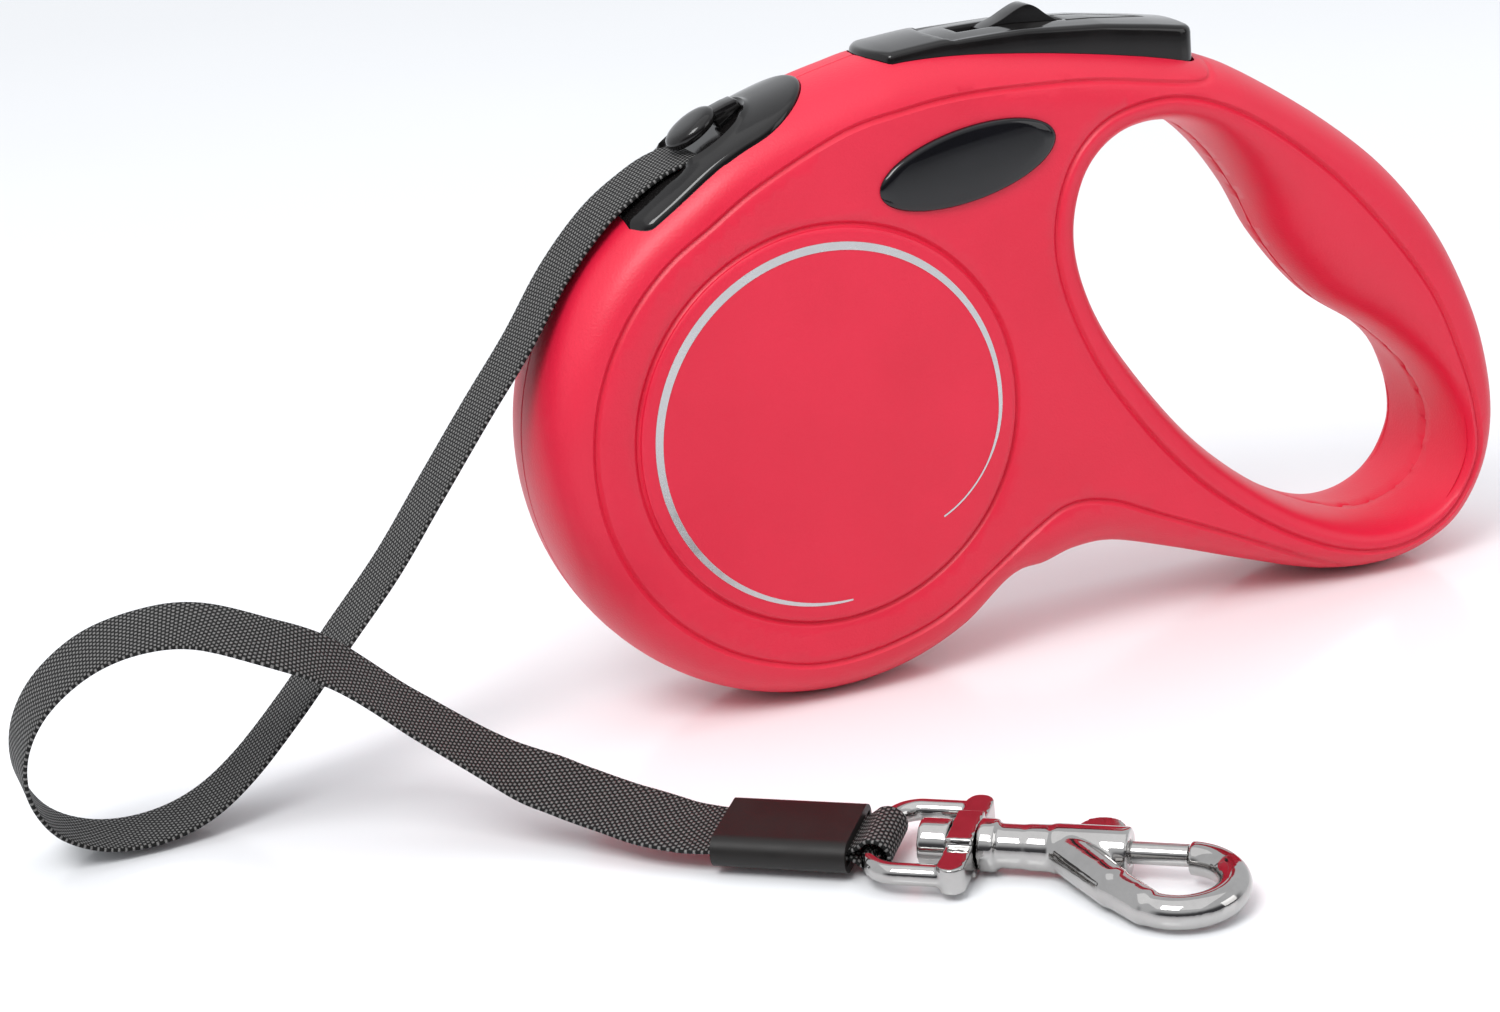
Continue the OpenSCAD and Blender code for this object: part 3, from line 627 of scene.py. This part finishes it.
def case_half(name, side, skin):
    """One half of the housing: its skin, a shadow groove along the seam, and an inner wall."""
    flat, tris, heights = skin
    verts = [(x + REEL_X, side * y, max(z, 0.0)) for (x, z), y in zip(flat, heights)]
    order = tris if side < 0 else tris[:, ::-1]
    obj = make(name, verts, [tuple(int(i) for i in t) for t in order], None, None)
    work = bmesh.new()
    work.from_mesh(obj.data)
    work.normal_update()
    rim = [e for e in work.edges if e.is_boundary]
    inward = {}
    for v in {v for e in rim for v in e.verts}:
        n = v.normal.copy()
        n.y = 0
        inward[spot(v)] = -n.normalized()
    new = bmesh.ops.extrude_edge_only(work, edges=rim)
    for v in [g for g in new["geom"] if isinstance(g, bmesh.types.BMVert)]:
        v.co += inward[spot(v)] * SEAM_DEEP * MM
        v.co.y = 0.0
        v.co.z = max(v.co.z, 0.2 * MM)
    bmesh.ops.recalc_face_normals(work, faces=work.faces)
    facing = sum((f.normal * f.calc_area() for f in work.faces), Vector())
    if facing.y * side < 0:
        bmesh.ops.reverse_faces(work, faces=work.faces)
    work.to_mesh(obj.data)
    work.free()
    thicken(obj, HOUSING_WALL)
    return obj


def spot(vertex):
    """Where a vertex is, as a key that its copy shares."""
    return tuple(round(c, 7) for c in vertex.co)


def column(name, stations):
    """A closed cutter: at each x a rectangle of half width w from z0 to z1."""
    verts, faces = [], []
    for x, w, z0, z1 in stations:
        for y, z in ((-w, z0), (w, z0), (w, z1), (-w, z1)):
            verts.append((x + REEL_X, y, z))
    last = 4 * (len(stations) - 1)
    for a in range(0, last, 4):
        for k in range(4):
            faces.append((a + k, a + (k + 1) % 4, a + 4 + (k + 1) % 4, a + 4 + k))
    faces += [(3, 2, 1, 0), tuple(last + k for k in range(4))]
    return make(name, verts, faces, None, None)


# Plan of the brake button: a bowed nose, straight sides and round rear corners
BUTTON_HALF, NOSE_R, NOSE_X, TAIL_X, TAIL_R = 7.2, 11.2, 24.6, 66.2, 2.4
# Plan of the tape guide: straight sides and a round rear end
GUIDE_R, GUIDE_ROUND_X = 10.4, -6.7
GUIDE_FLOOR = [(-27, 78.2), (-25.5, 79.4), (-20.4, 82.1), (-13.5, 83.9), (-4.5, 87.6), (1.5, 90.9), (4, 93)]
SKY = 110.0  # above everything that is cut


def button_half_width(x, grow=0.0):
    """Half width of the button's plan at x, or of its pocket where it is let grow."""
    w = BUTTON_HALF + grow
    if x < NOSE_X:
        reach = (NOSE_R + grow) ** 2 - (NOSE_X - x) ** 2
        w = min(w, math.sqrt(max(reach, 0.0)))
    rear = TAIL_X + grow - x
    if rear < TAIL_R:
        bend = math.sqrt(max(TAIL_R ** 2 - (TAIL_R - rear) ** 2, 0.0))
        w = min(w, BUTTON_HALF - TAIL_R + bend + grow)
    return max(w, 0.05)


def guide_half_width(x, grow=0.0):
    """Half width of the guide's plan at x, or of its seat where it is let grow."""
    reach = (GUIDE_R + grow) ** 2 - max(0.0, x - GUIDE_ROUND_X) ** 2
    return math.sqrt(max(reach, 0.0025))


def cut_housing(obj):
    """Cuts the brake button's pocket and the tape guide's seat."""
    xs = [13.02, *np.linspace(13.1, NOSE_X, 24), *np.linspace(26, 63.8, 8), *np.linspace(64.2, 66.5, 9)]
    cut(obj, column("pocket", [(x, button_half_width(x, 0.3), 84.0, SKY) for x in xs]))
    xs = [*np.linspace(-27.0, GUIDE_ROUND_X, 9), *np.linspace(-5.5, 3.66, 22), 3.77]
    cut(obj, column("guide_seat", [
        (x, guide_half_width(x, 0.1), float(np.interp(x, *zip(*GUIDE_FLOOR))), SKY) for x in xs]))
    work = bmesh.new()
    work.from_mesh(obj.data)
    bmesh.ops.dissolve_degenerate(work, dist=1e-6, edges=work.edges)
    work.to_mesh(obj.data)
    work.free()


skin_points, skin_tris = skin_mesh()
case_skin = skin_points, skin_tris, np.maximum(skin_height(skin_points), SEAM_HALF)
for name, side, node_name, cover in (("case_near", -1, "left_shell", "left_cover"),
                                     ("case_far", 1, "right_shell", "right_cover")):
    shell = case_half(name, side, case_skin)
    cut_housing(shell)
    finish_piece(shell, RED_GRAIN, "housing", 40)
    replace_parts(shell, node_name, cover)

# ---------------------------------------------------------------- pieces set into the housing


def topped(name, flat, tris, height, low, thick, body):
    """A hollow black lid: a shaped top over the flat mesh, its edge run down to low(x, y)."""
    verts = [(x + REEL_X, y, z) for (x, y), z in zip(flat, height)]
    obj = make(name, verts, [tuple(int(i) for i in t) for t in tris], None, None)
    work = bmesh.new()
    work.from_mesh(obj.data)
    work.normal_update()
    if sum(f.normal.z * f.calc_area() for f in work.faces) < 0:
        bmesh.ops.reverse_faces(work, faces=work.faces)
    rim = [e for e in work.edges if e.is_boundary]
    for part in (0.4, 1.0):
        new = bmesh.ops.extrude_edge_only(work, edges=rim)
        rim = [g for g in new["geom"] if isinstance(g, bmesh.types.BMEdge) and g.is_boundary]
        for v in {v for e in rim for v in e.verts}:
            down = low(v.co.x / MM - REEL_X, v.co.y / MM) * MM
            v.co.z += (min(down, v.co.z) - v.co.z) * part
    work.to_mesh(obj.data)
    work.free()
    thicken(obj, thick)
    return finish_piece(obj, BLACK, body, 38)


def mirrored_plan(xs, widths):
    """A closed plan with these half widths, its points evenly spaced."""
    near = [(x, -w) for x, w in zip(xs, widths)]
    return spaced(np.array(near + [(x, -y) for x, y in near[::-1]]), 0.55, True)


def brake_lever():
    """The button: a thumb pad up to a lip, the lock's slot, and an engraved leaf behind it."""
    lip_x, lip_bend, lip_drop = 24.4, 0.035, 0.55
    leaf_x, leaf_long, leaf_half = 47.4, 13.6, 2.5
    front = 13.42
    nose = front + NOSE_R * (1 - np.cos(np.linspace(0.1, 1.4, 26)))
    tail = TAIL_X - TAIL_R * (1 - np.sin(np.linspace(0.05, 1.5, 9)))
    xs = np.concatenate([[front], nose, np.linspace(24, 63.6, 60), tail])
    plan = mirrored_plan(xs, [button_half_width(x) for x in xs])
    slot = spaced(np.array([(29.2, -2.1), (46.4, -2.1), (46.4, 2.1), (29.2, 2.1)]), 0.6, True)
    edge = [(x, leaf_half * (1 - ((x - leaf_x) / leaf_long) ** 1.7)) for x in np.linspace(49, 60.6, 14)]
    edge = [(leaf_x, leaf_half)] + edge
    leaf = np.array(edge + [(leaf_x + leaf_long, 0)] + [(x, -y) for x, y in edge[::-1]])
    lip = np.array([(lip_x + lip_bend * y * y, y) for y in np.linspace(-6.9, 6.9, 24)])[3:-3]
    loops = [(plan, True)]
    loops += [(offset_loop(plan, -inset), True) for inset in (0.12, 0.28, 0.5, 0.8, 1.15, 1.6)]
    loops += [(offset_loop(slot, grow), True) for grow in (0, 0.25, 0.5)]
    loops += [(leaf + shift * normals(leaf, False), False) for shift in (-0.4, -0.2, 0, 0.2, 0.4)]
    loops += [(lip + [shift, 0], False) for shift in (-0.5, -0.1, 0.1, 0.5)]
    flat, tris = field_mesh(loops, [slot], 0.8, 0.44, (13, -7.3, 66.5, 7.3))
    x, y = flat.T
    to_edge, _ = nearest(flat, plan, True)
    to_slot, _ = nearest(flat, slot, True)
    to_leaf, _ = nearest(flat, leaf, False)
    z = np.interp(x, (13.2, 17, 22, 24.4, 28, 38, 51, 60, 66.6),
                  (95.9, 96.35, 96.75, 96.9, 96.9, 96.7, 95.5, 94.1, 92.9))
    z = z - 0.5 * (y / BUTTON_HALF) ** 2 - fillet(to_edge, 0.9) - fillet(to_slot, 0.5)
    past = x - (lip_x + lip_bend * y ** 2)
    step = np.clip(past / 0.3 + 0.5, 0, 1) * np.exp(-np.clip(past, 0, None) / 9.0)
    z -= lip_drop * step * np.clip(to_edge / 1.2, 0, 1)
    z -= 0.34 * (1 - np.clip(to_leaf / 0.4, 0, 1) ** 2) ** 2
    return topped("brake_lever", flat, tris, z, skirt, 1.3, "brake")


def skirt(x, y):
    """Lower edge of the button, deeper towards the rear."""
    return 92 - (x - 13.2) * 7.6 / 53.4


def moulded(name, verts, count, body, edge_r, segments):
    """A black prism between two matching rings of count points each, its edges rounded."""
    faces = [tuple(range(count)), tuple(range(2 * count - 1, count - 1, -1))]
    faces += [(i, i + count, (i + 1) % count + count, (i + 1) % count) for i in range(count)]
    obj = make(name, verts, faces, None, None)
    rounded = obj.modifiers.new("edge", "BEVEL")
    rounded.width = edge_r * MM
    rounded.segments = segments
    rounded.limit_method = "ANGLE"
    rounded.angle_limit = math.radians(50)
    bake_modifiers(obj)
    return finish_piece(obj, BLACK, body, 40)


def lock_piece(name, profile, half_width, edge_r, segments):
    """A part of the lock with this side profile."""
    verts = [(x + REEL_X, y, z) for y in (-half_width, half_width) for x, z in profile]
    obj = moulded(name, verts, len(profile), "lock", edge_r, segments)
    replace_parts(obj, "lock_slider")


def guide_saddle():
    """Saddle over the housing's shoulder, with a dish and a way out for the tape."""
    xs = np.concatenate([np.linspace(-26.4, GUIDE_ROUND_X, 36),
                         GUIDE_ROUND_X + GUIDE_R * np.sin(np.linspace(0.05, 1.54, 26))])
    narrowing = np.clip((-23.4 - xs) / 3, 0, 1) ** 2 * 3
    plan = mirrored_plan(xs, [guide_half_width(x) for x in xs] - narrowing)
    dish = np.array([(-12.6 + 7.6 * math.cos(a), 7.3 * math.sin(a))
                     for a in np.linspace(0, 2 * math.pi, 97)[:-1]])
    loops = [(plan, True)]
    loops += [(offset_loop(plan, -inset), True) for inset in (0.12, 0.28, 0.5, 0.8, 1.2)]
    loops += [(offset_loop(dish, grow), True) for grow in (-1.6, -1.1, -0.7, -0.35, 0, 0.3, 0.6, 0.9)]
    flat, tris = field_mesh(loops, [], 0.75, 0.4125, (-27, -10.5, 4, 10.5))
    x, y = flat.T
    # the housing's own shoulder, a little proud of it
    ridge = offset_loop(outline, 0.55)
    ridge = ridge[(ridge[:, 1] > 60) & (ridge[:, 0] > -34) & (ridge[:, 0] < 12)]
    ridge = ridge[ridge[:, 0].argsort()]
    slope = np.interp(x, ridge[:, 0], np.gradient(ridge[:, 1], ridge[:, 0]))
    drop = 7.4 * (1 - (1 - (np.abs(y) / 13.4) ** BOW) ** (1 / BOW))
    to_edge, _ = nearest(flat, plan, True)
    z = np.interp(x, ridge[:, 0], ridge[:, 1]) - drop / np.cos(np.arctan(slope)) - fillet(to_edge, 0.7)
    # the dish leans forward; a fine bead runs round it
    to_dish, _ = nearest(flat, dish, True)
    deep = np.where(inside(flat, dish), np.clip(to_dish / 1.6, 0, 1), 0)
    floor_z = np.minimum(86.0 + (x + 11.8) * 0.65, z - 0.35)
    bead = 0.4 * np.exp(-(to_dish / 0.42) ** 2) * (x > -19)
    z = z + bead + (floor_z - z) * np.sin(np.pi / 2 * deep)
    # way out under the tape
    tape = np.array(TAPE_ROUTE[5:1:-1])
    tape_under = np.interp(x, tape[:, 0] - REEL_X, tape[:, 2] - 0.75)
    way = np.clip((-16.0 - x) / 1.5, 0, 1) * np.clip((6.9 - np.abs(y)) / 0.4, 0, 1)
    z -= way * np.clip(z - tape_under, 0, None)
    return topped("guide_saddle", flat, tris, z, seat, 1.0, "housing")


def seat(x, y):
    """Lower edge of the guide."""
    return float(np.interp(x, *zip(*GUIDE_FLOOR))) - 0.3 - 0.018 * y * y


def lathe(rows, count=64):
    """Vertices and faces of a profile of (radius, height) turned about Z, poles at both ends."""
    turns = np.linspace(0, 2 * math.pi, count, endpoint=False)
    verts = [(0, 0, rows[0][1])]
    verts += [(r * math.cos(a), r * math.sin(a), h) for r, h in rows[1:-1] for a in turns]
    verts.append((0, 0, rows[-1][1]))
    last = 1 + (len(rows) - 3) * count
    faces = []
    for k in range(count):
        n = (k + 1) % count
        faces.append((0, 1 + k, 1 + n))
        faces += [(a + k, a + count + k, a + count + n, a + n) for a in range(1, last, count)]
        faces.append((last + k, len(verts) - 1, last + n))
    return verts, faces


def set_in(verts, place):
    """The points moved from their own frame to their place."""
    return [tuple(place @ Vector(v)) for v in verts]


def guide_pad():
    """The raised oval pad over the tape's way out, and the bar that carries it."""
    place = Matrix.Translation((-13.2 + REEL_X, 0, 88.4)) @ Matrix.Rotation(math.radians(-33), 4, "Y")
    dome, faces = lathe([(0, 1.15), (1.6, 1.12), (2.7, 1.0), (3.3, 0.8), (3.7, 0.45), (3.88, 0.0),
                         (3.85, -0.5), (3.5, -0.95), (2.4, -1.0), (0, -1.0)])
    dome = [(x * 1.12, y * 0.98, z) for x, y, z in dome]
    pad = make("guide_pad", set_in(dome, place), faces, BLACK, "housing", 50)
    side = [(2.9, 0.45), (4.2, 0.1), (6.0, -0.35), (7.7, -0.9), (7.7, -2.4), (2.9, -2.4)]
    verts = set_in([(x, y, z) for y in (-1.75, 1.75) for x, z in side], place)
    bar = moulded("guide_bar", verts, len(side), "housing", 0.4, 3)
    for piece in (pad, bar):
        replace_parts(piece, "guide_finger")


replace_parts(brake_lever(), "brake_button")
wave = open_curve([(33.4, 96.1), (34.6, 96.5), (36.6, 97.2), (38.6, 98.15), (40.2, 98.75), (41.4, 98.75),
                   (42.6, 98.1), (43.8, 97.1), (45.0, 96.3), (45.8, 95.9)], 5)
lock_piece("lock_tab", [tuple(p) for p in wave] + [(45.8, 93.0), (33.4, 93.0)], 1.9, 0.45, 4)
lock_piece("lock_plate", [(31.6, 92.9), (45.8, 92.9), (45.8, 93.9), (31.6, 93.9)], 4.6, 0.2, 2)
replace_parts(guide_saddle(), "tape_guide")
guide_pad()

# ---------------------------------------------------------------- round covers and oval badges

COVER_TOP = 13.4


def disc(name, centre, rows, count, side, stretch, tilt, material):
    """A turned disc standing on a side face, stretched along X and then tilted."""
    verts, faces = lathe(rows, count)
    c, s = math.cos(math.radians(tilt)), math.sin(math.radians(tilt))
    placed = [(centre[0] + c * x * stretch - s * y + REEL_X, side * h, centre[1] + s * x * stretch + c * y)
              for x, y, h in verts]
    return make(name, placed, faces, material, "housing", 35)


def foil_ring(name, side):
    """An open ring of silver foil on the round cover, which tapers and curls in at its end."""
    share = np.linspace(0, 1, 141)
    angle = np.radians(-88 - 318 * share)
    r = 27.2 - 3.2 * np.clip((share - 0.86) / 0.14, 0, None) ** 2
    half_w = 0.13 + 0.52 * np.abs(np.sin(math.pi * np.minimum(1, share * 1.08))) ** 0.7
    spine = np.stack([r * np.cos(angle), r * np.sin(angle)], 1)
    low, high = COVER_TOP - 0.02, COVER_TOP + 0.06
    verts, faces = [], []
    for p, n, w in zip(spine, normals(spine, False), half_w):
        for shift, h in ((-w, low), (-w, high), (w, high), (w, low)):
            q = p + shift * n
            verts.append((q[0] + REEL_X, side * h, q[1] + COVER_Z))
    last = 4 * (len(spine) - 1)
    for a in range(0, last, 4):
        faces += [(a + k, a + (k + 1) % 4, a + 4 + (k + 1) % 4, a + 4 + k) for k in range(4)]
    faces += [(3, 2, 1, 0), tuple(last + k for k in range(4))]
    return make(name, verts, faces, SILVER, "housing", 40)


COVER_ROWS = [(r, COVER_TOP) for r in (0, 6, 12, 18, 23, 27)]
COVER_ROWS += [(29.0, 13.38), (29.5, 13.3), (29.8, 13.1), (29.9, 12.8), (29.9, 12.1), (29.4, 12.0), (0, 12.0)]
BADGE_LONG, BADGE_HIGH = 14.6, 5.6
BADGE_ROWS = [(r, 14.2 - 0.55 * (r / BADGE_HIGH) ** 2.4) for r in (0, 1, 2, 3, 4, 4.7, 5.2)]
BADGE_ROWS += [(5.45, 13.5), (5.55, 13.2), (5.5, 12.2), (0, 12.2)]
for side, word, hand in ((-1, "near", "left"), (1, "far", "right")):
    cover = disc("cover_" + word, (0, COVER_Z), COVER_ROWS, 128, side, 1.0, 0, RED_GRAIN)
    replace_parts(cover, hand + "_cover")
    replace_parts(foil_ring("foil_ring_" + word, side), hand + "_cover")
    badge = disc("badge_" + word, (24.6, 79.1), BADGE_ROWS, 96, side, BADGE_LONG / BADGE_HIGH, 9,
                 BADGE)
    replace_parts(badge, hand + "_badge")

# ---------------------------------------------------------------- swivel, snap and springs


def node_copy(name, node_name):
    """A new object with the CAD piece's mesh, where the piece is at rest."""
    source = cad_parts[node_name]
    mesh = source.data.copy()
    mesh.transform(source.matrix_world)
    mesh.materials.clear()
    obj = bpy.data.objects.new(name, mesh)
    bpy.context.scene.collection.objects.link(obj)
    return obj


def cast(name, node_name, body, voxel, passes):
    """The CAD piece again with the soft corners of a casting."""
    obj = node_copy(name, node_name)
    skin = obj.modifiers.new("skin", "REMESH")
    skin.mode = "VOXEL"
    skin.voxel_size = voxel * MM
    soft = obj.modifiers.new("soft", "SMOOTH")
    soft.factor = 0.5
    soft.iterations = passes
    bake_modifiers(obj)
    finish_piece(obj, CHROME, body, 70)
    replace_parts(obj, node_name)
    return obj


def coil(name, node_name, body):
    """The spring again, as a piece with its own mesh that rides on a body."""
    obj = finish_piece(node_copy(name, node_name), STEEL, body, 50)
    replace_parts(obj, node_name)
    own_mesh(obj)
    return obj


fold_obj = end_fold()
eye_obj = cast("cast_eye", "swivel_eye", "eye", 0.2, 12)
hook_obj = cast("cast_hook", "snap_body", "hook", 0.24, 16)
bolt_obj = cast("cast_bolt", "snap_bolt", "bolt", 0.16, 4)
# the swivel's shaft turns in a clean bore
bore, bore_faces = lathe([(0, 30.5), (2.3, 30.5), (2.3, 37.0), (0, 37.0)], 48)
bore = set_in(bore, LEAD @ Matrix.Rotation(math.pi / 2, 4, "Y"))
cut(eye_obj, make("bore", bore, bore_faces, None, None))
finish_piece(eye_obj, CHROME, "eye", 70)
coil("button_coil", "button_spring", "housing")
bolt_coil = coil("bolt_coil", "bolt_spring", "hook")

# ---------------------------------------------------------------- CAD nodes that are shown as they are

KEEP = {
    "reel_axle": STEEL, "reel_drum": GREY, "reel_ratchet": GREY, "reel_far_flange": GREY,
    "spring_lid": GREY, "tape_winding": TAPE_EDGE, "power_spring": STEEL,
    "housing_screws": STEEL, "button_pin": STEEL, "lock_clip": STEEL, "brake_pawl": STEEL,
    "pawl_pin": STEEL, "tape_sleeve": SLEEVE}
for node_name, material in KEEP.items():
    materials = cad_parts[node_name].data.materials
    materials.clear()
    materials.append(material)
